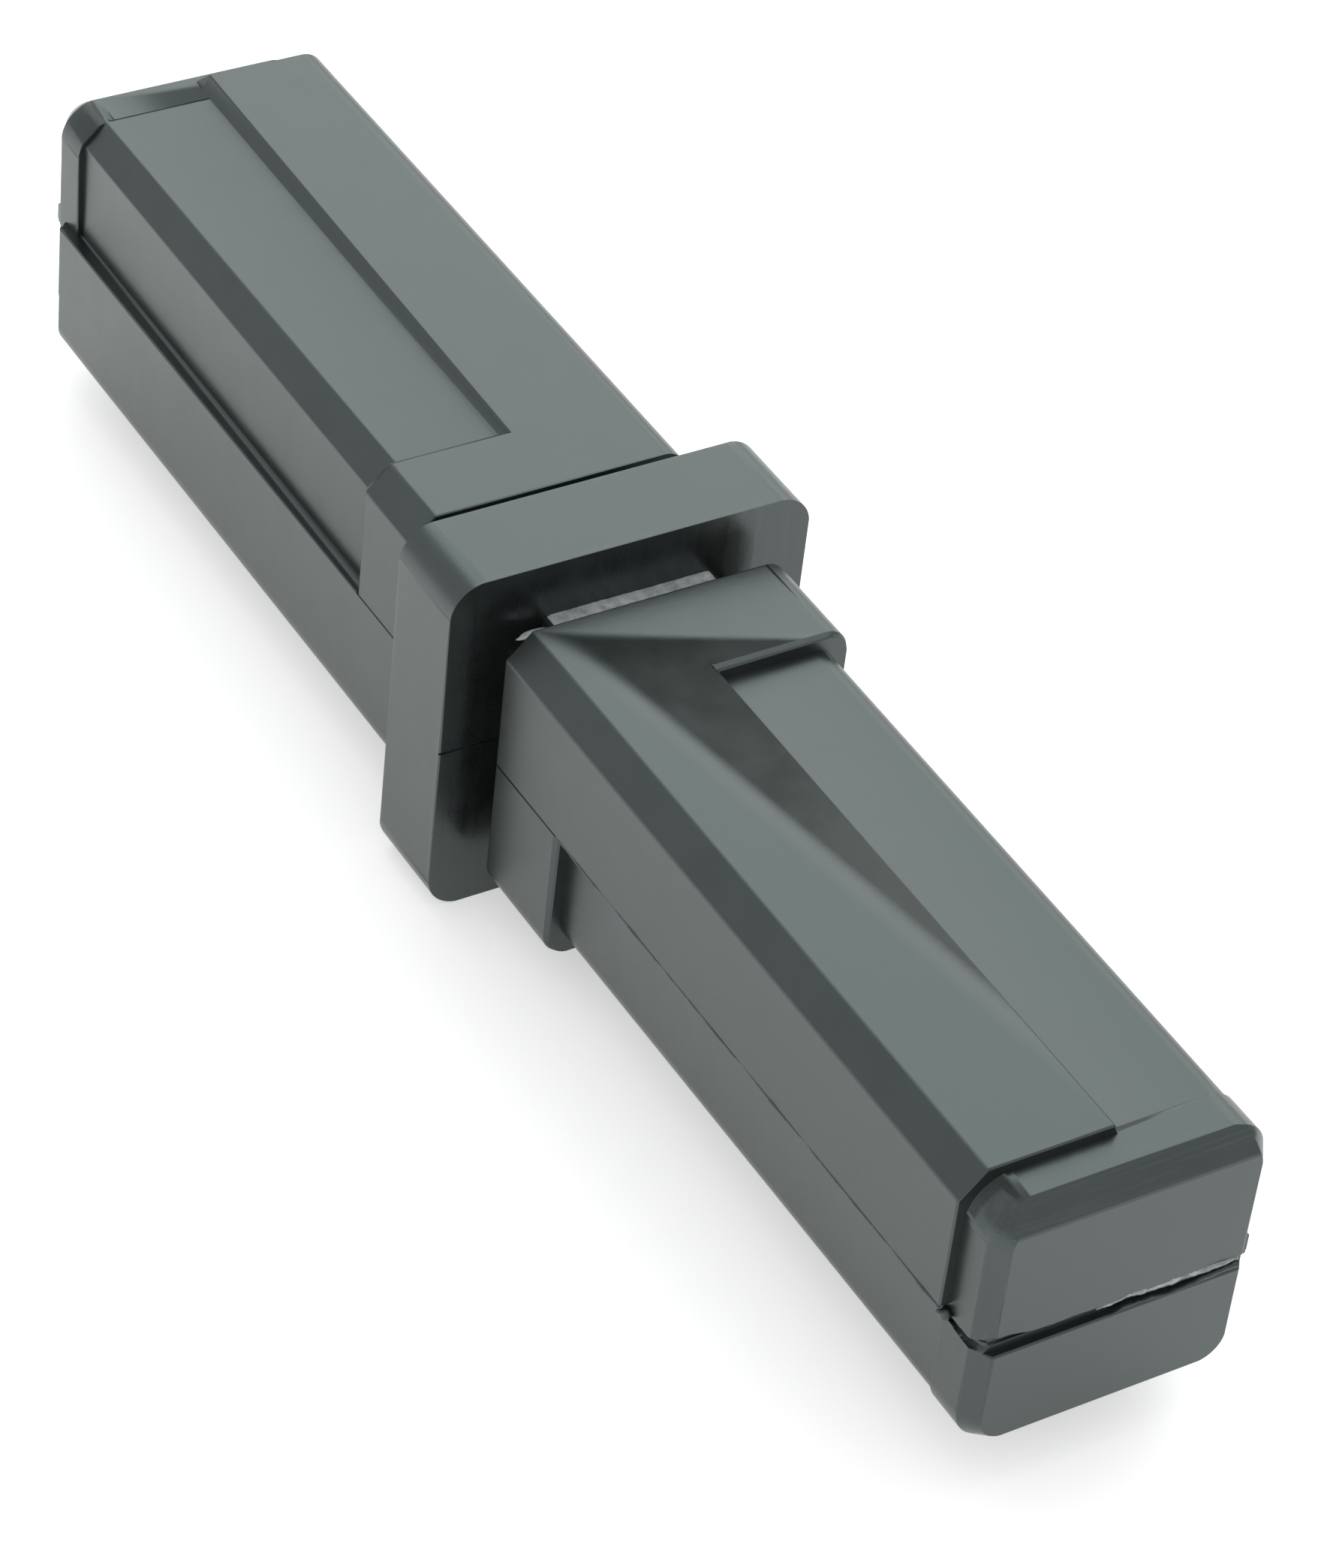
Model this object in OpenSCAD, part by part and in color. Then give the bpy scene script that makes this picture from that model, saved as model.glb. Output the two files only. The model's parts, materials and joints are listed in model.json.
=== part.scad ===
// In-line connector for two square tubes: a square collar with a plug leg on each side.
// One moulding, from two half moulds that part on the plane z = 0.
// The legs run along X, the near leg towards +X.  Origin: centre of the collar.  Millimetres.

/* [Collar] */
// Width and height of the collar, as wide as the tube outside
collar_w = 25; // [24:0.5:40]
// Length of the collar along the tube
collar_l = 6.5; // [4:0.5:12]
// Radius of the collar's long edges
collar_r = 2.4; // [1:0.2:4]

/* [Legs] */
// Overall length from tip to tip
total_l = 118.4; // [90:0.2:200]
// Size across the raised pads, a slip fit in the tube bore
leg_w = 19.5; // [17:0.1:21]
// Size of the legs' long edges: two opposite ones are round, the other two are cut at 45 degrees
leg_r = 1.7; // [1:0.1:3]
// Distance from the collar to the end of the closed band
band_l = 9.7; // [8:0.1:16]
// Run of the bevel round the band's end
band_bevel = 0.4; // [0.2:0.1:0.8]

/* [Recessed quarters] */
// Depth of the recessed quarters beside the band
recess_d = 0.95; // [0.6:0.05:1.5]
// Extra depth that the recessed quarters gain over their length
recess_gain = 0.15; // [0.05:0.05:0.4]
// Sideways place of the pads' inner edge on the near leg
split_near = 0.2; // [-1:0.05:2]
// Sideways place of the pads' inner edge on the far leg
split_far = 0.4; // [-1:0.05:2]
// How far the far pads' inner edge runs aside along the leg
far_skew = 0.7; // [0:0.05:1.2]
// Sideways run of the drafted wall between pad and recess
wall_draft = 0.45; // [0.1:0.05:1]

/* [Root relief] */
// Width of the relief groove beside the collar on the near leg
relief_near = 2.15; // [1:0.05:3.5]
// Width of the relief groove beside the collar on the far leg
relief_far = 3.55; // [1:0.05:5]
// Depth of the relief grooves below the pads
relief_d = 1.95; // [1.2:0.05:3]
// Length of the trimmed gate land in the near groove
gate_l = 11.9; // [6:0.1:14]
// Sideways place of the middle of the gate land
gate_y = -0.1; // [-1:0.05:1]
// Height of the gate land above the groove's floor
gate_h = 0.7; // [0.3:0.05:1.1]

/* [End plates] */
// Length of the end plates, measured from the recesses' ends
plate_l = 3.4; // [3:0.1:8]
// Step from the pads down to the end plates
plate_step = 0.7; // [0.3:0.05:1.4]
// How much lower the far end plate is than it is wide, on each side
plate_flat = 0.35; // [0.1:0.05:0.6]
// Radius of the end plates' long edges
plate_r = 2.6; // [1.6:0.1:4]
// Length of the lead-in taper at the tips
lead_l = 1.2; // [0.8:0.1:2.4]
// Sideways drop of the lead-in taper
lead_drop = 0.85; // [0.4:0.05:1.4]
// Length of the trimmed bevel on top of the near plate
trim_l = 1.3; // [0.9:0.1:2]
// Drop of the trimmed bevel
trim_drop = 1.65; // [1:0.05:2.2]
// Bevel at the tip end of the far pads, which run on over the far plate
far_bevel = 0.95; // [0.5:0.05:1.2]
// Distance from the far tip to the start of that bevel
far_run = 2.8; // [2.6:0.1:3]

/* [Parting marks] */
// Width of the parting slit across the end plates
slit_w = 1.0; // [0.4:0.05:1.6]
// Height of the parting slit's middle above the middle plane
slit_z = -0.95; // [-2:0.05:2]
// Depth of the parting slit across the end plates
slit_d = 0.5; // [0.2:0.05:0.8]
// Width of the witness line on the collar's ends and the bands' sides
witness_w = 0.16; // [0.1:0.02:0.3]
// Depth of the witness line
witness_d = 0.1; // [0.05:0.01:0.2]
// How far the flash stands out at the side of the end plates
flash_out = 0.22; // [0.1:0.02:0.4]

/* [Hidden] */
$fn = 64;
leg_h = leg_w / 2;              // half size across the pads
tip_x = total_l / 2;            // middle to tip
face_x = collar_l / 2;          // middle to collar face
band_x = face_x + band_l;       // end of the closed band
pad_x = tip_x - plate_l;        // end of the pads and of the recesses
recess_h = leg_h - recess_d;    // half size across the recesses, beside the band
core_h = leg_h - relief_d;      // half size at the grooves' floor
plate_h = leg_h - plate_step;   // half size of the end plates
sink = 0.5;                     // overlap of features that grow out of each other

// Slab of a bar: it reaches out from the axis on two sides, is wide across, and tapers by drop
module web(turn, x0, x1, out, wide, drop) {
    rotate([turn, 0, 0]) linear_extrude(2 * wide, center = true)
        polygon([[x0, -out], [x1, -out + drop], [x1, out - drop], [x0, out]]);
}

// Square bar along +X: stations x0 to x1, half size h, lower by flat on top and below.  Its long edges
// have radius r, but no piece is put at those whose signs of y and z multiply to cut.
module rounded(x0, x1, h, r, cut, drop, flat) {
    web(0, x0, x1, h, h - flat - r, drop);
    web(90, x0, x1, h - flat, h - r, drop);
    for (y = [-1, 1], z = [-1, 1])
        if (y * z != cut) translate([x0, y * (h - r), z * (h - flat - r)]) rotate([0, 90, 0])
            cylinder(r1 = r, r2 = r - drop, h = x1 - x0);
}

// The same bar with two of its edges, at cut, bevelled at 45 degrees instead, or with cut = 0 none.
// With a drop, its four sides and its edges taper evenly by that much towards x1.
module bar(x0, x1, h, r, cut = 0, drop = 0, flat = 0) {
    block = r + sink + 1;
    if (cut == 0) rounded(x0, x1, h, r, cut, drop, flat);
    else intersection() {
        web(45 * cut, x0, x1, (2 * h - flat - r) / sqrt(2), 2 * h, drop / sqrt(2));
        union() {
            rounded(x0, x1, h, r, cut, drop, flat);
            intersection() {
                web(0, x0, x1, h, h, drop);
                web(90, x0, x1, h - flat, h, drop);
                for (y = [-1, 1])
                    translate([(x0 + x1) / 2, y * (h + 1 - block / 2), y * cut * (h - flat + 1 - block / 2)])
                        cube([x1 - x0, block, block], center = true);
            }
        }
    }
}

// Collar with the witness line of the parting across both of its end faces
module collar() {
    difference() {
        bar(-face_x, face_x, collar_w / 2, collar_r);
        for (side = [-1, 1])
            translate([side * (face_x + 1 - witness_d), 0, 0])
                cube([2, collar_w + 2, witness_w], center = true);
    }
}

// Closed band beside the collar, bevelled at its outer end
module band(relief, cut) {
    bar(face_x + relief, band_x - band_bevel, leg_h, leg_r, cut);
    bar(band_x - band_bevel, band_x, leg_h, leg_r, cut, band_bevel / 2);
}

// Two raised quarter pads, opposite each other; the inner wall of each one is drafted.
// Its top edge starts sideways at split beside the band, and has moved by -skew at the leg's end.
// The pads run to x = reach, and with a bevel they taper on from there.
module pads(split, skew, cut, reach, bevel) {
    slope = wall_draft / recess_d;
    out = leg_w + 2;
    start = sink + band_bevel;
    intersection() {
        union() {
            bar(band_x - start, reach, leg_h, leg_r, cut);
            if (bevel > 0) bar(reach, reach + bevel, leg_h, leg_r, cut, bevel);
        }
        for (turn = [0, 180])
            rotate([turn, 0, 0]) translate([band_x, split, 0]) rotate([0, 0, -atan(skew / (pad_x - band_x))])
                translate([-start - 1, 0, 0]) rotate([90, 0, 90]) linear_extrude(tip_x)
                    polygon([[-out, 0], [slope * leg_h, 0], [-slope, leg_h + 1], [-out, leg_h + 1]]);
    }
}

// End plate with its lead-in taper, the parting slit across it and the flash beside the slit
module plate(flat) {
    lead_x = tip_x - lead_l;
    groove_d = slit_d / 2;
    difference() {
        union() {
            bar(pad_x - sink, lead_x, plate_h, plate_r, 0, 0, flat);
            bar(lead_x, tip_x, plate_h, plate_r, 0, lead_drop, flat);
            translate([lead_x - 0.5, 0, slit_z]) cube([lead_l, plate_h + flash_out - lead_drop / 2, 1.4]);
        }
        translate([tip_x - slit_d, -leg_h - 1, slit_z - slit_w / 2]) cube([slit_d + 1, leg_w + 2, slit_w]);
        for (side = [-1, 1])
            translate([pad_x, side * (plate_h + 1 - groove_d) - 1, slit_z - slit_w / 4])
                cube([plate_l + 1, 2, slit_w / 2]);
    }
}

// Wedge that the trimmed bevel takes off the near plate
module trim() {
    slope = trim_drop / trim_l;
    rotate([90, 0, 0]) linear_extrude(leg_w, center = true)
        polygon([[tip_x - trim_l - 1, plate_h + slope], [tip_x + 1, plate_h - trim_drop - slope],
                 [tip_x + 1, plate_h + slope]]);
}

// Leg along +X: the recessed core carries the band, the pads and the parting's witness line
module leg(split, skew, relief, cut, reach, bevel) {
    difference() {
        union() {
            bar(face_x - sink, band_x, core_h, leg_r, cut);
            bar(band_x - sink - band_bevel, pad_x, recess_h, leg_r, cut, recess_gain);
            band(relief, cut);
            pads(split, skew, cut, reach, bevel);
        }
        for (side = [-1, 1])
            translate([face_x, side * (leg_h + 1 - witness_d) - 1, -witness_w / 2])
                cube([band_l, 2, witness_w]);
    }
}

// Land left by the trimmed gate, lying in the near groove
module gate_land() {
    translate([face_x - sink, gate_y - gate_l / 2, core_h - sink])
        cube([relief_near + 2 * sink, gate_l, gate_h + sink]);
}

// The whole moulding
module connector() {
    color("#1b1d1e") {
        collar();
        leg(split_near, 0, relief_near, -1, pad_x, 0);
        difference() {
            plate(0);
            trim();
        }
        rotate([0, 0, 180]) {
            leg(-split_far, far_skew, relief_far, 1, tip_x - far_run, far_bevel);
            plate(plate_flat);
        }
        gate_land();
    }
}

connector();
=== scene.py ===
"""Moulded in-line connector for square tube, on a pale studio floor."""

import json
import logging
import math
from dataclasses import dataclass, field
from enum import Enum

import bmesh
import bpy
import numpy as np
from mathutils import Matrix, Vector

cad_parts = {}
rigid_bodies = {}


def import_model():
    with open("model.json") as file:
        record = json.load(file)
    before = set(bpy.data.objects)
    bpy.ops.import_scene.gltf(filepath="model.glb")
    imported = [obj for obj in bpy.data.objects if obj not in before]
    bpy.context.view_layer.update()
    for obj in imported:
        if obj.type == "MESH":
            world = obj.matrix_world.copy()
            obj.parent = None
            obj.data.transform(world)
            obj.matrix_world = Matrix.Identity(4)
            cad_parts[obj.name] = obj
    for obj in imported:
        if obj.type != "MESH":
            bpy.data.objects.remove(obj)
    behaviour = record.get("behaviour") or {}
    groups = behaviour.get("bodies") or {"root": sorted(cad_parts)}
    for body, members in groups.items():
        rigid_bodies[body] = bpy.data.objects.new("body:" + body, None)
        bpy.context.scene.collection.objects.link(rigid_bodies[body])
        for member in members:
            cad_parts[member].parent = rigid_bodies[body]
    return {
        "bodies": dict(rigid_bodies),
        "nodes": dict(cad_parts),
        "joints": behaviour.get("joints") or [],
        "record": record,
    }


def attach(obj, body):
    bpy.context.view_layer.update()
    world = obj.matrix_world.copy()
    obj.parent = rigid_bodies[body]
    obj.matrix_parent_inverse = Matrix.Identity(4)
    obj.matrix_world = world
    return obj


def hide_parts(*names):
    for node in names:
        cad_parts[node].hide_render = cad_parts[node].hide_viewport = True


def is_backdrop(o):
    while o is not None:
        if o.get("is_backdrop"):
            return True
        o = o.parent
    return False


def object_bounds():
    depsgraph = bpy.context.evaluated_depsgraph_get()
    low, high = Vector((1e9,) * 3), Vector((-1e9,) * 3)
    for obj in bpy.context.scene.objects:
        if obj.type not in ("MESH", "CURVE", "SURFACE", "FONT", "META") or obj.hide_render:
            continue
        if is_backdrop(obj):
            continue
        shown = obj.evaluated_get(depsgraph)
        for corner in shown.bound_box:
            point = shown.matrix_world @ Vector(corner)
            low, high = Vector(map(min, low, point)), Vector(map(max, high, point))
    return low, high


LOG = logging.getLogger("connector")
MM = 0.001


class Slot(Enum):
    """Material slots of the record."""

    NYLON = "nylon"


class Shade(Enum):
    """How the nylon looks: moulded skin, thin flash paled by painted glints, torn core lightened by a painted
    highlight.
    """

    DARK = "dark"
    PAINTED_GLINT = "pale"
    TORN_PAINTED_HIGHLIGHT = "torn"


# Finishes

@dataclass(frozen=True)
class NylonFinish:
    """Numbers of one moulded nylon surface."""

    name: str
    base: tuple[float, float, float]
    # pale: colour of the lighter patches; a real random tone on the skin, painted glints on flash, a painted highlight
    # on torn skin.
    pale: tuple[float, float, float]
    roughness: float
    roughness_spread: float
    specular: float
    grain_mm: float
    grain_height_mm: float
    cloud_mm: float
    streak: float = 0.0
    flake: float = 0.0
    tint: tuple[float, float, float] = (0.84, 1.0, 0.975)


SKIN = NylonFinish("black_nylon", (0.006, 0.007, 0.0072), (0.024, 0.027, 0.027), 0.33, 0.07, 1.0, 0.20, 0.005, 3.2,
                   streak=1.0)
# Thin flash of black nylon; its pale patches are painted glints.
FLASH_PAINTED_GLINT = NylonFinish("flash_nylon_painted_glint", (0.05, 0.055, 0.055), (0.42, 0.45, 0.45), 0.30, 0.10, 1.0, 0.15, 0.004, 0.7,
                    flake=1.0)
# Torn skin of the gate scar: real torn nylon, whose light base and pale patches are a painted highlight.
TORN_PAINTED_HIGHLIGHT = NylonFinish("torn_nylon_painted_highlight", (0.25, 0.265, 0.27), (0.62, 0.64, 0.66), 0.50, 0.10, 0.8, 0.12, 0.012, 0.6,
                   flake=1.0)


class NodeSheet:
    """Small helper that lays nodes in one tree and joins their sockets."""

    def __init__(self, tree: bpy.types.NodeTree) -> None:
        """Keeps the tree and empties it."""
        self.tree = tree
        tree.nodes.clear()

    def add(self, kind: str, **settings: object) -> bpy.types.Node:
        """Adds a node.

        Args:
            kind: Blender's node type name.
            settings: attributes to set on the node.

        Returns:
            The new node.
        """
        node = self.tree.nodes.new(kind)
        for key, value in settings.items():
            setattr(node, key, value)
        node.location = (180 * (len(self.tree.nodes) % 9), -260 * (len(self.tree.nodes) // 9))
        return node

    def join(self, source: bpy.types.NodeSocket, target: bpy.types.NodeSocket) -> None:
        """Joins an output socket to an input socket."""
        self.tree.links.new(source, target)

    def math(self, operation: str, a: object, b: object = 0.0, clamp: bool = False) -> bpy.types.NodeSocket:
        """Puts a Math node between two values or sockets.

        Args:
            operation: Blender's name of the operation.
            a: first value or socket.
            b: second value or socket.
            clamp: keeps the result between 0 and 1.

        Returns:
            The result socket.
        """
        node = self.add("ShaderNodeMath", operation=operation, use_clamp=clamp)
        for index, value in enumerate((a, b)):
            if isinstance(value, bpy.types.NodeSocket):
                self.join(value, node.inputs[index])
            else:
                node.inputs[index].default_value = value
        return node.outputs[0]

    def band(self, value: bpy.types.NodeSocket, low: float, high: float, soft: float) -> bpy.types.NodeSocket:
        """Mask that is 1 where value lies between low and high, with soft ends.

        Args:
            value: the socket that is tested.
            low: lower end.
            high: upper end.
            soft: width of each soft end.

        Returns:
            The mask socket.
        """
        up = self.math("DIVIDE", self.math("SUBTRACT", value, low - soft / 2), soft, clamp=True)
        down = self.math("DIVIDE", self.math("SUBTRACT", high + soft / 2, value), soft, clamp=True)
        return self.math("MULTIPLY", up, down)


def group(name: str, inputs: dict[str, tuple[str, float]], outputs: dict[str, str]) -> bpy.types.NodeTree:
    """Makes an empty shader node group.

    Args:
        name: name of the group.
        inputs: input names with their socket type and default value.
        outputs: output names with their socket type.

    Returns:
        The node tree, with its sockets and no nodes.
    """
    tree = bpy.data.node_groups.new(name, "ShaderNodeTree")
    for key, (kind, value) in inputs.items():
        socket = tree.interface.new_socket(name=key, in_out="INPUT", socket_type=kind)
        if kind == "NodeSocketFloat":
            socket.default_value = value
    for key, kind in outputs.items():
        tree.interface.new_socket(name=key, in_out="OUTPUT", socket_type=kind)
    return tree


class MouldSurface:
    """Shared effects of a moulded surface, kept as node groups."""

    def __init__(self) -> None:
        """Builds both groups once."""
        self.grain = self._grain()
        self.clouds = self._clouds()
        self.streaks = self._streaks()
        self.wear = self._wear()

    def _grain(self) -> bpy.types.NodeTree:
        """Fine spark-eroded grain: two noises of different size, added as a height.

        Returns:
            The group, with a Size input in metres and a Height output.
        """
        tree = group("mould_grain", {"Vector": ("NodeSocketVector", 0.0), "Size": ("NodeSocketFloat", 0.0002)},
                     {"Height": "NodeSocketFloat"})
        sheet = NodeSheet(tree)
        ins, outs = sheet.add("NodeGroupInput"), sheet.add("NodeGroupOutput")
        scale = sheet.math("DIVIDE", 1.0, ins.outputs["Size"])
        fine = sheet.add("ShaderNodeTexNoise")
        fine.inputs["Detail"].default_value = 3.0
        sheet.join(ins.outputs["Vector"], fine.inputs["Vector"])
        sheet.join(scale, fine.inputs["Scale"])
        coarse = sheet.add("ShaderNodeTexNoise")
        coarse.inputs["Detail"].default_value = 2.0
        sheet.join(ins.outputs["Vector"], coarse.inputs["Vector"])
        sheet.join(sheet.math("MULTIPLY", scale, 0.22), coarse.inputs["Scale"])
        height = sheet.math("ADD", fine.outputs["Fac"], sheet.math("MULTIPLY", coarse.outputs["Fac"], 0.9))
        sheet.join(height, outs.inputs["Height"])
        return tree

    def _clouds(self) -> bpy.types.NodeTree:
        """Soft patches where the skin of the moulding is duller or paler.

        Returns:
            The group, with a Size input in metres and a Mask output around one half.
        """
        tree = group("mould_clouds", {"Vector": ("NodeSocketVector", 0.0), "Size": ("NodeSocketFloat", 0.003)},
                     {"Mask": "NodeSocketFloat"})
        sheet = NodeSheet(tree)
        ins, outs = sheet.add("NodeGroupInput"), sheet.add("NodeGroupOutput")
        noise = sheet.add("ShaderNodeTexNoise")
        noise.inputs["Detail"].default_value = 5.0
        noise.inputs["Roughness"].default_value = 0.62
        sheet.join(ins.outputs["Vector"], noise.inputs["Vector"])
        sheet.join(sheet.math("DIVIDE", 1.0, ins.outputs["Size"]), noise.inputs["Scale"])
        mask = sheet.math("MULTIPLY", sheet.math("SUBTRACT", noise.outputs["Fac"], 0.28), 2.2, clamp=True)
        sheet.join(mask, outs.inputs["Mask"])
        return tree

    def _streaks(self) -> bpy.types.NodeTree:
        """Fine upright drag marks on the collar's two end faces, where the mould slid off.

        Returns:
            The group, with a Mask output that is 0 away from the collar.
        """
        tree = group("collar_streaks", {"Vector": ("NodeSocketVector", 0.0)}, {"Mask": "NodeSocketFloat"})
        sheet = NodeSheet(tree)
        ins, outs = sheet.add("NodeGroupInput"), sheet.add("NodeGroupOutput")
        stretch = sheet.add("ShaderNodeMapping")
        stretch.inputs["Scale"].default_value = (200.0, 1900.0, 90.0)
        sheet.join(ins.outputs["Vector"], stretch.inputs["Vector"])
        noise = sheet.add("ShaderNodeTexNoise")
        noise.inputs["Scale"].default_value = 1.0
        noise.inputs["Detail"].default_value = 4.0
        sheet.join(stretch.outputs["Vector"], noise.inputs["Vector"])
        axes = sheet.add("ShaderNodeSeparateXYZ")
        sheet.join(ins.outputs["Vector"], axes.inputs["Vector"])
        away = sheet.math("ABSOLUTE", axes.outputs["X"])
        near = sheet.band(away, 2.9 * MM, 3.6 * MM, 0.2 * MM)
        line = sheet.math("MULTIPLY", sheet.math("SUBTRACT", noise.outputs["Fac"], 0.42), 3.0, clamp=True)
        sheet.join(sheet.math("MULTIPLY", line, near), outs.inputs["Mask"])
        return tree


    def _wear(self) -> bpy.types.NodeTree:
        """Rubbed, flaky top of the near end plate, and brush marks along its trimmed bevel.

        Returns:
            The group, with Pale, Dull and Height outputs that are 0 away from the plate.
        """
        tree = group("plate_wear", {"Vector": ("NodeSocketVector", 0.0)},
                     {"Pale": "NodeSocketFloat", "Dull": "NodeSocketFloat", "Height": "NodeSocketFloat"})
        sheet = NodeSheet(tree)
        ins, outs = sheet.add("NodeGroupInput"), sheet.add("NodeGroupOutput")
        axes = sheet.add("ShaderNodeSeparateXYZ")
        sheet.join(ins.outputs["Vector"], axes.inputs["Vector"])
        high = sheet.band(axes.outputs["Z"], 6.6 * MM, 12 * MM, 0.3 * MM)
        top = sheet.math("MULTIPLY", high, sheet.band(axes.outputs["X"], 56.0 * MM, 57.8 * MM, 0.3 * MM))
        slope = sheet.math("MULTIPLY", high, sheet.band(axes.outputs["X"], 57.95 * MM, 59.1 * MM, 0.1 * MM))
        rubbed = sheet.add("ShaderNodeMapping")
        rubbed.inputs["Scale"].default_value = (1500.0, 420.0, 1500.0)
        sheet.join(ins.outputs["Vector"], rubbed.inputs["Vector"])
        flakes = sheet.add("ShaderNodeTexNoise")
        flakes.inputs["Scale"].default_value = 1.0
        flakes.inputs["Detail"].default_value = 5.0
        sheet.join(rubbed.outputs["Vector"], flakes.inputs["Vector"])
        flaky = sheet.math("MULTIPLY", sheet.math("SUBTRACT", flakes.outputs["Fac"], 0.45), 4.0, clamp=True)
        brushed = sheet.add("ShaderNodeMapping")
        brushed.inputs["Scale"].default_value = (5200.0, 130.0, 5200.0)
        sheet.join(ins.outputs["Vector"], brushed.inputs["Vector"])
        lines = sheet.add("ShaderNodeTexNoise")
        lines.inputs["Scale"].default_value = 1.0
        lines.inputs["Detail"].default_value = 3.0
        sheet.join(brushed.outputs["Vector"], lines.inputs["Vector"])
        line = sheet.math("MULTIPLY", sheet.math("SUBTRACT", lines.outputs["Fac"], 0.5), 4.0, clamp=True)
        upper = sheet.math("MULTIPLY", flaky, top)
        lower = sheet.math("MULTIPLY", line, slope)
        sheet.join(sheet.math("ADD", sheet.math("MULTIPLY", upper, 0.9), sheet.math("MULTIPLY", lower, 0.7)),
                   outs.inputs["Pale"])
        sheet.join(sheet.math("MULTIPLY", upper, 0.08), outs.inputs["Dull"])
        sheet.join(sheet.math("ADD", upper, sheet.math("MULTIPLY", lower, 1.5)), outs.inputs["Height"])
        return tree


class Nylon:
    """Turns a finish into a Blender material."""

    def __init__(self, surface: MouldSurface) -> None:
        """Keeps the shared groups."""
        self.surface = surface

    def _group(self, sheet: NodeSheet, tree: bpy.types.NodeTree, vector: bpy.types.NodeSocket,
               size_mm: float | None = None) -> bpy.types.Node:
        """Places a shared group.

        Args:
            sheet: where it goes.
            tree: the group.
            vector: the coordinates it reads.
            size_mm: value of its Size input, if it has one.

        Returns:
            The group node.
        """
        node = sheet.add("ShaderNodeGroup", node_tree=tree)
        sheet.join(vector, node.inputs["Vector"])
        if size_mm is not None:
            node.inputs["Size"].default_value = size_mm * MM
        return node

    def make(self, finish: NylonFinish) -> bpy.types.Material:
        """Builds the material: clouded colour and roughness, grain as bump.

        Args:
            finish: the numbers of the surface.

        Returns:
            The material.
        """
        material = bpy.data.materials.new(finish.name)
        material.use_nodes = True
        sheet = NodeSheet(material.node_tree)
        out = sheet.add("ShaderNodeOutputMaterial")
        shader = sheet.add("ShaderNodeBsdfPrincipled")
        sheet.join(shader.outputs["BSDF"], out.inputs["Surface"])
        shader.inputs["Specular IOR Level"].default_value = finish.specular
        shader.inputs["Specular Tint"].default_value = (*finish.tint, 1.0)
        place = sheet.add("ShaderNodeTexCoord").outputs["Object"]
        cloud = self._group(sheet, self.surface.clouds, place, finish.cloud_mm).outputs["Mask"]
        grain = self._group(sheet, self.surface.grain, place, finish.grain_mm).outputs["Height"]
        colour = sheet.add("ShaderNodeMix", data_type="RGBA")
        colour.inputs["A"].default_value = (*finish.base, 1.0)
        colour.inputs["B"].default_value = (*finish.pale, 1.0)
        # Flash and torn skin mix in their pale colour at full strength: painted glints and a painted highlight; the
        # skin's weaker clouds are a real random tone.
        amount = cloud if finish.flake else sheet.math("MULTIPLY", cloud, 0.4)
        rough = sheet.math("ADD", sheet.math("MULTIPLY", cloud, finish.roughness_spread),
                           finish.roughness - finish.roughness_spread / 2)
        height = grain
        if finish.streak:
            streak = self._group(sheet, self.surface.streaks, place).outputs["Mask"]
            amount = sheet.math("ADD", amount, sheet.math("MULTIPLY", streak, 0.15 * finish.streak), clamp=True)
            rough = sheet.math("SUBTRACT", rough, sheet.math("MULTIPLY", streak, 0.10 * finish.streak))
            height = sheet.math("ADD", height, sheet.math("MULTIPLY", streak, 0.4))
            worn = self._group(sheet, self.surface.wear, place)
            amount = sheet.math("ADD", amount, worn.outputs["Pale"], clamp=True)
            rough = sheet.math("ADD", rough, worn.outputs["Dull"])
            height = sheet.math("ADD", height, worn.outputs["Height"])
        if finish.flake:
            cells = sheet.add("ShaderNodeTexVoronoi", feature="F1")
            cells.inputs["Scale"].default_value = 1 / (0.5 * MM)
            sheet.join(place, cells.inputs["Vector"])
            height = sheet.math("ADD", height, sheet.math("MULTIPLY", cells.outputs["Distance"], 1.5))
        sheet.join(amount, colour.inputs["Factor"])
        sheet.join(colour.outputs["Result"], shader.inputs["Base Color"])
        sheet.join(rough, shader.inputs["Roughness"])
        bump = sheet.add("ShaderNodeBump")
        bump.inputs["Strength"].default_value = 1.0
        bump.inputs["Distance"].default_value = finish.grain_height_mm * MM
        sheet.join(height, bump.inputs["Height"])
        sheet.join(bump.outputs["Normal"], shader.inputs["Normal"])
        return material


# Shapes

def surface_piece(name: str, grid: np.ndarray, material: bpy.types.Material, closed_u: bool = False) -> bpy.types.Object:
    """Makes a mesh from a grid of points; faces join each point to its next ones along u and v.

    Args:
        name: name of the piece.
        grid: points of shape (u, v, 3), in metres.
        material: its material.
        closed_u: joins the last row to the first.

    Returns:
        The object, linked to the scene.
    """
    rows, cols = grid.shape[:2]
    index = np.arange(rows * cols).reshape(rows, cols)
    upper = np.roll(index, -1, 0) if closed_u else index[1:]
    lower = index if closed_u else index[:-1]
    quads = np.stack([lower[:, :-1], upper[:, :-1], upper[:, 1:], lower[:, 1:]], -1).reshape(-1, 4)
    mesh = bpy.data.meshes.new(name)
    mesh.from_pydata(grid.reshape(-1, 3).tolist(), [], quads.tolist())
    if closed_u:
        build = bmesh.new()
        build.from_mesh(mesh)
        bmesh.ops.holes_fill(build, edges=[e for e in build.edges if e.is_boundary])
        bmesh.ops.recalc_face_normals(build, faces=build.faces)
        build.to_mesh(mesh)
        build.free()
    mesh.shade_smooth()
    mesh.materials.append(material)
    piece = bpy.data.objects.new(name, mesh)
    bpy.context.scene.collection.objects.link(piece)
    return piece


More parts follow.
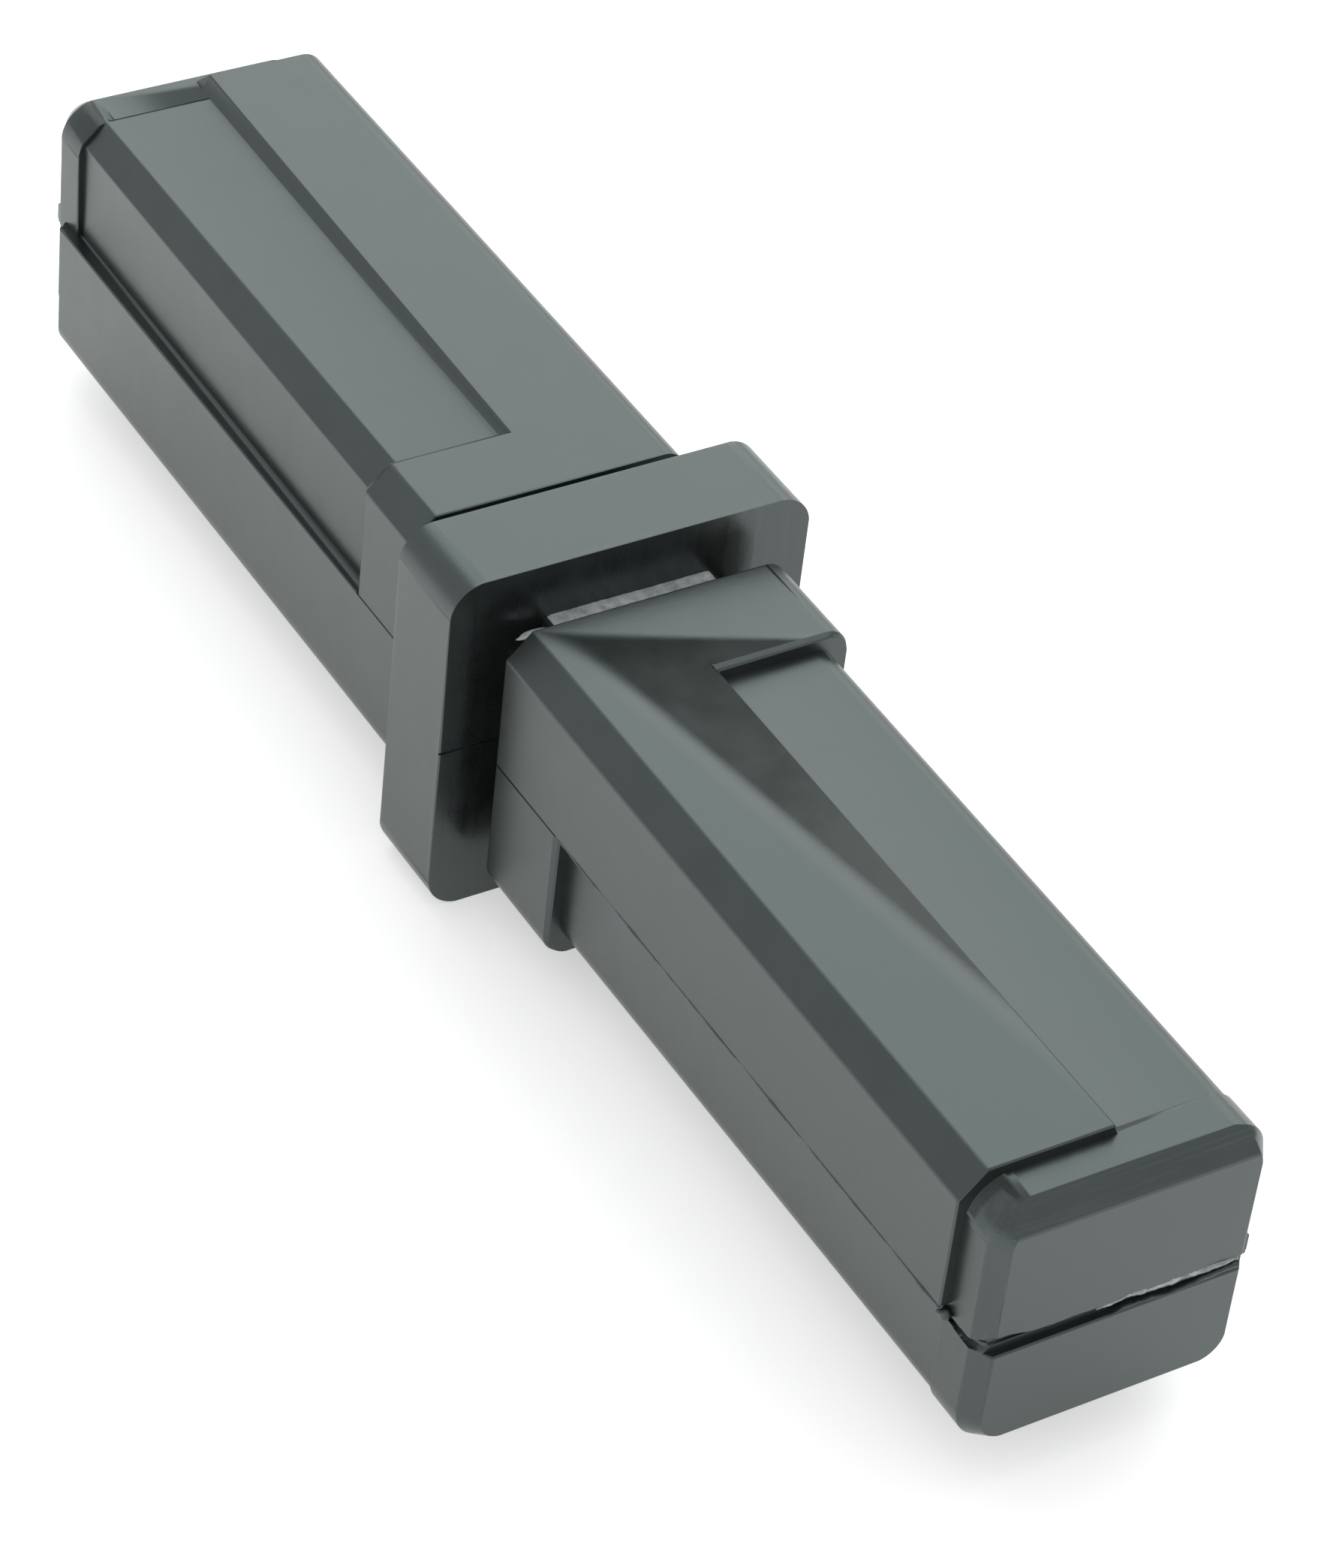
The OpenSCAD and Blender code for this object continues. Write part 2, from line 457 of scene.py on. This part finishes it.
@dataclass
class Moulding:
    """The one moulding: the frame's solid, with the small radii that its mould leaves on every edge."""

    node: str = "connector"
    edge_mm: float = 0.12
    segments: int = 2
    angle_deg: float = 24.0
    shortest_mm: float = 0.6
    least_mm2: float = 0.9
    join_mm: float = 0.01

    def _cut(self, piece: bpy.types.Object, cutter: bpy.types.Object) -> None:
        """Takes a cutter away from the piece and removes the cutter."""
        cut = piece.modifiers.new("cut", "BOOLEAN")
        cut.object = cutter
        cut.solver = "EXACT"
        graph = bpy.context.evaluated_depsgraph_get()
        mesh = bpy.data.meshes.new_from_object(piece.evaluated_get(graph))
        piece.modifiers.remove(cut)
        piece.data = mesh
        bpy.data.objects.remove(cutter)

    def _mark(self, mesh: bpy.types.Mesh) -> None:
        """Joins triangles into plane faces and marks the sharp outer edges that take a small radius."""
        build = bmesh.new()
        build.from_mesh(mesh)
        bmesh.ops.remove_doubles(build, verts=build.verts, dist=self.join_mm * MM)
        bmesh.ops.dissolve_limit(build, angle_limit=math.radians(0.4), verts=build.verts, edges=build.edges)
        layer = build.edges.layers.float.new("bevel_weight_edge")
        least = math.radians(self.angle_deg)
        for edge in build.edges:
            if edge.is_manifold and edge.calc_face_angle_signed() > least \
                    and edge.calc_length() > self.shortest_mm * MM \
                    and min(face.calc_area() for face in edge.link_faces) > self.least_mm2 * MM ** 2:
                edge[layer] = 1.0
        build.to_mesh(mesh)
        build.free()

    def build(self, solid: bpy.types.Object, material: bpy.types.Material,
              cutters: list[bpy.types.Object]) -> bpy.types.Object:
        """Copies the solid, cuts the ragged marks, and rounds the sharp outer edges.

        Args:
            solid: the frame's node.
            material: the skin's material.
            cutters: closed pieces that are taken away from it.

        Returns:
            The dressed piece.
        """
        build = bmesh.new()
        build.from_mesh(solid.data)
        bmesh.ops.remove_doubles(build, verts=build.verts, dist=1e-6)
        mesh = bpy.data.meshes.new("moulding")
        build.to_mesh(mesh)
        build.free()
        mesh.materials.append(material)
        piece = bpy.data.objects.new("moulding", mesh)
        bpy.context.scene.collection.objects.link(piece)
        for cutter in cutters:
            self._cut(piece, cutter)
        self._mark(piece.data)
        piece.data.shade_smooth()
        piece.data.set_sharp_from_angle(angle=math.radians(self.angle_deg))
        bevel = piece.modifiers.new("mould_radius", "BEVEL")
        bevel.width = self.edge_mm * MM
        bevel.segments = self.segments
        bevel.limit_method = "WEIGHT"
        bevel.use_clamp_overlap = False
        even = piece.modifiers.new("flat_faces", "WEIGHTED_NORMAL")
        even.mode = "FACE_AREA"
        even.weight = 100
        even.keep_sharp = True
        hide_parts(self.node)
        return piece


def ragged(along: np.ndarray, height: float, seed: int, finest: float) -> np.ndarray:
    """Ragged line: a sum of sines whose wavelengths halve, each with half the height of the last.

    Args:
        along: places along the line, in mm.
        height: height of the longest wave, in mm.
        seed: picks the phases.
        finest: shortest wavelength, in mm.

    Returns:
        The line's offsets in mm.
    """
    draw = np.random.default_rng(seed)
    waves = np.arange(6)
    length = finest * 2.0 ** (5 - waves) * draw.uniform(0.8, 1.25, 6)
    phase = draw.uniform(0, 2 * np.pi, 6)
    size = height * 0.62 ** waves
    return (size * np.sin(2 * np.pi * along[:, None] / length + phase)).sum(1)


@dataclass
class Strip:
    """Thin strip of flash with two ragged edges; it lies along one axis and is closed all round.

    The cross-section is a flat rectangle whose outer face swells in the middle; its two edges follow
    the lines that the tables give, with the ragged offsets on top.
    """

    name: str
    axis: int
    across: int
    out: int
    stations: tuple[float, ...]
    low: tuple[float, ...]
    high: tuple[float, ...]
    inner: float
    outer: float
    rough_low: float
    rough_high: float
    seed: int
    step: float = 0.06

    def build(self, material: bpy.types.Material) -> bpy.types.Object:
        """Builds the strip.

        Args:
            material: its material.

        Returns:
            The piece.
        """
        count = int((self.stations[-1] - self.stations[0]) / self.step)
        along = np.linspace(self.stations[0], self.stations[-1], count)
        fade = np.clip(np.minimum(along - along[0], along[-1] - along) / 0.6, 0, 1)
        low = np.interp(along, self.stations, self.low) + ragged(along, self.rough_low, self.seed, 0.22) * fade
        high = np.interp(along, self.stations, self.high) + ragged(along, self.rough_high, self.seed + 1, 0.22) * fade
        high = np.maximum(high, low + 0.03)
        swell = ragged(along, 0.25 * abs(self.outer - self.inner), self.seed + 2, 0.3) * fade * 0.4
        share = np.array([0.0, 0.12, 0.5, 0.88, 1.0])
        bow = np.array([0.35, 0.85, 1.0, 0.85, 0.35])
        face = self.inner + (self.outer + swell - self.inner)[:, None] * bow
        edge = low[:, None] + (high - low)[:, None] * share
        grid = np.zeros((7, count, 3))
        grid[..., self.axis] = along
        grid[:5, :, self.across] = edge.T
        grid[:5, :, self.out] = face.T
        grid[5, :, self.across], grid[6, :, self.across] = high, low
        grid[5:, :, self.out] = self.inner
        return surface_piece(self.name, grid * MM, material, closed_u=True)


@dataclass
class GateScar:
    """Torn skin on the gate land: a sheet whose top face is broken up in flakes."""

    x: tuple[float, float] = (3.2, 5.36)
    y: tuple[float, float] = (-6.0, 5.8)
    top: float = 8.58
    flake: float = 0.035
    step: float = 0.07

    def build(self, material: bpy.types.Material) -> bpy.types.Object:
        """Builds the sheet as a closed slab; flakes are steps of a slow wave plus a fine one.

        Args:
            material: its material.

        Returns:
            The piece.
        """
        rows = int((self.x[1] - self.x[0]) / self.step)
        cols = int((self.y[1] - self.y[0]) / self.step)
        u = np.linspace(*self.x, rows)
        v = np.linspace(*self.y, cols)
        slow = ragged(v, 0.9, 41, 0.35)[None] + ragged(u, 0.5, 42, 0.3)[:, None]
        cross = ragged(v, 0.7, 43, 0.28)[None] * ragged(u, 0.9, 44, 0.4)[:, None]
        height = self.top + self.flake * np.clip(np.round(slow + cross), -2, 2) / 2 \
            + 0.25 * self.flake * (slow - np.round(slow))
        end = np.minimum(v - v[0], v[-1] - v)
        height = height - 0.28 * np.clip(1 - end / 0.5, 0, 1)[None] ** 2
        grid = np.zeros((rows + 2, cols, 3))
        grid[:, :, 1] = v
        grid[1:-1, :, 0] = u[:, None]
        grid[1:-1, :, 2] = height
        grid[0, :, 0], grid[-1, :, 0] = self.x
        grid[[0, -1], :, 2] = self.top - 0.45
        return surface_piece("gate_scar_painted_highlight", grid * MM, material, closed_u=True)


@dataclass
class Nub:
    """Small torn drop of flash: a ball squeezed along three axes, with two waves round it."""

    name: str
    at: tuple[float, float, float]
    size: tuple[float, float, float]
    seed: int

    def build(self, material: bpy.types.Material) -> bpy.types.Object:
        """Builds the drop.

        Args:
            material: its material.

        Returns:
            The piece.
        """
        turn = np.linspace(0, 2 * np.pi, 25)[:-1]
        rise = np.linspace(0.06, np.pi - 0.06, 15)
        phase = np.random.default_rng(self.seed).uniform(0, 6.28, 3)
        wave = 1 + 0.16 * np.sin(3 * turn[:, None] + phase[0] + 2 * rise) \
            + 0.10 * np.sin(5 * rise + 2 * turn[:, None] + phase[1])
        ball = np.stack([np.cos(turn)[:, None] * np.sin(rise) * wave, np.sin(turn)[:, None] * np.sin(rise) * wave,
                         np.broadcast_to(np.cos(rise), wave.shape)], -1)
        return surface_piece(self.name, (np.array(self.at) + ball * np.array(self.size)) * MM, material, closed_u=True)


@dataclass
class Flash:
    """All flash and torn skin that the mould left on the part."""

    tip: float = 59.2
    side: float = 9.75

    def strips(self) -> list[tuple[Strip, Enum]]:
        """Lists the strips, with the finish that each one takes.

        Returns:
            Pairs of a strip and a finish key.
        """
        groove = 58.72
        return [
            # Flash on the slit's upper side, paled by painted glints.
            (Strip("slit_flash_painted_glint", 1, 2, 0, (-1.6, -0.4, 0.5, 1.7, 3.4, 5.8, 7.9),
                   (-0.55, -0.74, -0.62, -0.80, -0.86, -0.80, -0.66), (-0.42, -0.30, -0.12, -0.06, -0.10, -0.14, -0.30),
                   groove, self.tip + 0.06, 0.055, 0.03, 11), Shade.PAINTED_GLINT),
            (Strip("slit_lower_lip", 1, 2, 0, (-0.6, 0.5, 1.7, 3.4, 5.8, 8.1), (-1.5,) * 6,
                   (-1.46, -1.30, -1.40, -1.34, -1.20, -1.10),
                   groove, self.tip - 0.01, 0.0, 0.045, 31), Shade.DARK),
            (Strip("side_seam", 0, 2, 1, (13.2, 30.0, 42.0, 55.6), (-0.16, -0.14, -0.18, -0.22),
                   (0.06, 0.05, 0.07, 0.06), -self.side + 0.30, -self.side - 0.03, 0.02, 0.02, 51), Shade.DARK),
        ]

    def cutters(self, material: bpy.types.Material) -> list[bpy.types.Object]:
        """Builds what is cut out: the ragged upper side of the slit, and the groove round its corner.

        Args:
            material: any material.

        Returns:
            The cutters.
        """
        wedge = Strip("wedge", 1, 2, 0, (-9.3, -8.2, -7.5, -5.8, -3.5, -1.6, -1.0), (-0.95,) * 7,
                      (0.14, 0.12, 0.06, -0.28, -0.36, -0.42, -0.62), 58.55, 62.0, 0.0, 0.035, 61)
        return [wedge.build(material), self.corner(material)]

    def corner(self, material: bpy.types.Material) -> bpy.types.Object:
        """Builds the groove that runs round the corner of the plate into the slit.

        Its rings are ellipses in the Y-Z plane, whose middle and half-height follow the tables.

        Args:
            material: any material.

        Returns:
            The cutter.
        """
        along = np.linspace(56.4, 59.6, 60)
        stations = (56.4, 57.4, 58.2, 58.9, 59.6)
        middle_y = np.interp(along, stations, (-9.45, -9.35, -9.15, -8.75, -8.35))
        middle_z = np.interp(along, stations, (-1.12, -1.10, -1.00, -0.80, -0.66)) + ragged(along, 0.03, 71, 0.25)
        half = np.interp(along, stations, (0.22, 0.30, 0.42, 0.62, 0.72))
        turn = np.linspace(0, 2 * np.pi, 17)[:-1]
        grid = np.stack([np.broadcast_to(along, (16, 60)),
                         middle_y + 0.72 * np.cos(turn)[:, None] * np.ones(60),
                         middle_z + half * np.sin(turn)[:, None]], -1)
        return surface_piece("corner", grid * MM, material, closed_u=True)

    def build(self, shades: dict[Enum, bpy.types.Material]) -> list[bpy.types.Object]:
        """Builds every strip, the scar and the nubs.

        Args:
            shades: material of each shade.

        Returns:
            The pieces.
        """
        pieces = [strip.build(shades[shade]) for strip, shade in self.strips()]
        # The gate scar is real torn skin, lightened by a painted highlight in its finish.
        pieces.append(GateScar().build(shades[Shade.TORN_PAINTED_HIGHLIGHT]))
        pieces.append(Nub("pad_nub", (55.75, -9.25, -0.62), (0.42, 0.42, 0.34), 5).build(shades[Shade.DARK]))
        # Torn flake at the gate, lightened by the same painted highlight.
        pieces.append(Nub("gate_flake_painted_highlight", (4.25, -7.1, 8.38), (0.34, 1.25, 0.10), 8).build(shades[Shade.TORN_PAINTED_HIGHLIGHT]))
        return pieces


# Studio

@dataclass
class Studio:
    """Floor, lights and the camera at the photograph's viewing angle."""

    floor_z: float = -12.5 * MM
    camera_at: tuple[float, float, float] = (0.21512, -0.14053, 0.20406)
    right: tuple[float, float, float] = (0.497815, 0.862563, 0.090359)
    down: tuple[float, float, float] = (0.588741, -0.259592, -0.765504)
    ahead: tuple[float, float, float] = (-0.636839, 0.434278, -0.637055)
    lens_mm: float = 121.785
    softbox_radiance: float = 1.28
    tint: tuple[float, float, float] = (0.94, 1.0, 0.985)
    world_strength: float = 0.8

    def camera(self) -> bpy.types.Object:
        """Places the camera from its measured axes.

        Returns:
            The camera.
        """
        data = bpy.data.cameras.new("camera")
        data.lens = self.lens_mm
        data.sensor_width = 36.0
        data.clip_start = 0.01
        data.clip_end = 20.0
        camera = bpy.data.objects.new("camera", data)
        axes = Matrix((self.right, [-v for v in self.down], [-v for v in self.ahead])).transposed()
        camera.matrix_world = Matrix.Translation(self.camera_at) @ axes.to_4x4()
        bpy.context.scene.collection.objects.link(camera)
        bpy.context.scene.camera = camera
        return camera

    def floor(self) -> bpy.types.Object:
        """Wide floor with a pale colour that keeps the object's shadow.

        Returns:
            The floor.
        """
        mesh = bpy.data.meshes.new("floor")
        r = 4.0
        mesh.from_pydata([(-r, -r, self.floor_z), (r, -r, self.floor_z), (r, r, self.floor_z), (-r, r, self.floor_z)],
                         [], [(0, 1, 2, 3)])
        floor = bpy.data.objects.new("floor", mesh)
        bpy.context.scene.collection.objects.link(floor)
        material = bpy.data.materials.new("floor")
        material.use_nodes = True
        sheet = NodeSheet(material.node_tree)
        out = sheet.add("ShaderNodeOutputMaterial")
        matt = sheet.add("ShaderNodeBsdfDiffuse")
        matt.inputs["Color"].default_value = (0.86, 0.86, 0.86, 1.0)
        glow = sheet.add("ShaderNodeEmission")
        glow.inputs["Color"].default_value = (1.0, 1.0, 1.0, 1.0)
        path = sheet.add("ShaderNodeLightPath")
        seen = sheet.math("ADD", path.outputs["Is Camera Ray"], path.outputs["Is Glossy Ray"], clamp=True)
        lift = sheet.math("MULTIPLY", seen, 0.46)
        sheet.join(lift, glow.inputs["Strength"])
        add = sheet.add("ShaderNodeAddShader")
        sheet.join(matt.outputs["BSDF"], add.inputs[0])
        sheet.join(glow.outputs["Emission"], add.inputs[1])
        sheet.join(add.outputs["Shader"], out.inputs["Surface"])
        mesh.materials.append(material)
        floor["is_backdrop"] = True
        return floor

    def lamp(self, name: str, at: tuple[float, float, float], size: float, radiance: float) -> bpy.types.Object:
        """Square soft lamp that faces the object.

        Args:
            name: its name.
            at: its place, in metres.
            size: its side, in metres.
            radiance: how bright its face looks.

        Returns:
            The lamp.
        """
        data = bpy.data.lights.new(name, "AREA")
        data.shape = "SQUARE"
        data.size = size
        data.energy = radiance * math.pi * size * size
        data.color = self.tint
        lamp = bpy.data.objects.new(name, data)
        lamp.location = at
        lamp.rotation_euler = (-Vector(at)).to_track_quat("-Z", "Y").to_euler()
        bpy.context.scene.collection.objects.link(lamp)
        return lamp

    def world(self) -> None:
        """Even pale light from all round, white to the camera."""
        world = bpy.data.worlds.new("studio")
        bpy.context.scene.world = world
        world.use_nodes = True
        sheet = NodeSheet(world.node_tree)
        out = sheet.add("ShaderNodeOutputWorld")
        back = sheet.add("ShaderNodeBackground")
        back.inputs["Color"].default_value = (1.0, 1.0, 1.0, 1.0)
        path = sheet.add("ShaderNodeLightPath")
        seen = sheet.math("MULTIPLY", path.outputs["Is Camera Ray"], 1.0 - self.world_strength)
        sheet.join(sheet.math("ADD", seen, self.world_strength), back.inputs["Strength"])
        sheet.join(back.outputs["Background"], out.inputs["Surface"])

    def build(self) -> None:
        """Builds the whole studio."""
        self.world()
        self.floor()
        self.lamp("softbox", (-0.46, 0.42, 0.66), 1.15, self.softbox_radiance)
        self.camera()
        scene = bpy.context.scene
        scene.view_settings.view_transform = "Standard"


@dataclass
class Connector:
    """The whole part and its studio."""

    studio: Studio = field(default_factory=Studio)
    moulding: Moulding = field(default_factory=Moulding)
    flash: Flash = field(default_factory=Flash)

    def build(self, frame: dict) -> list[bpy.types.Object]:
        """Dresses the frame and adds the studio.


        Returns:
            The new pieces.
        """
        nylon = Nylon(MouldSurface())
        skin = nylon.make(SKIN)
        # The flash material is paled by painted glints; the torn material is lightened by a painted highlight.
        shades = {Shade.DARK: skin, Shade.PAINTED_GLINT: nylon.make(FLASH_PAINTED_GLINT), Shade.TORN_PAINTED_HIGHLIGHT: nylon.make(TORN_PAINTED_HIGHLIGHT)}
        solid = frame["nodes"][self.moulding.node]
        solid.data.materials.clear()
        solid.data.materials.append(skin)
        body = self.moulding.build(solid, skin, self.flash.cutters(skin))
        pieces = [body, *self.flash.build(shades)]
        for piece in pieces:
            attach(piece, "root")
            LOG.info("piece %s: %d vertices", piece.name, len(piece.data.vertices))
        self.studio.build()
        return pieces


def plain(value: object) -> object:
    """Turns vectors and tuples into plain lists of numbers."""
    return [plain(v) for v in value] if hasattr(value, "__len__") else float(value)


def main() -> None:
    """Builds everything."""
    logging.basicConfig(level=logging.INFO)
    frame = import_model()
    cad_box = plain(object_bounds())
    Connector().build(frame)
    {"cad": cad_box, "visual": plain(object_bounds())}


if __name__ == "__main__":
    main()
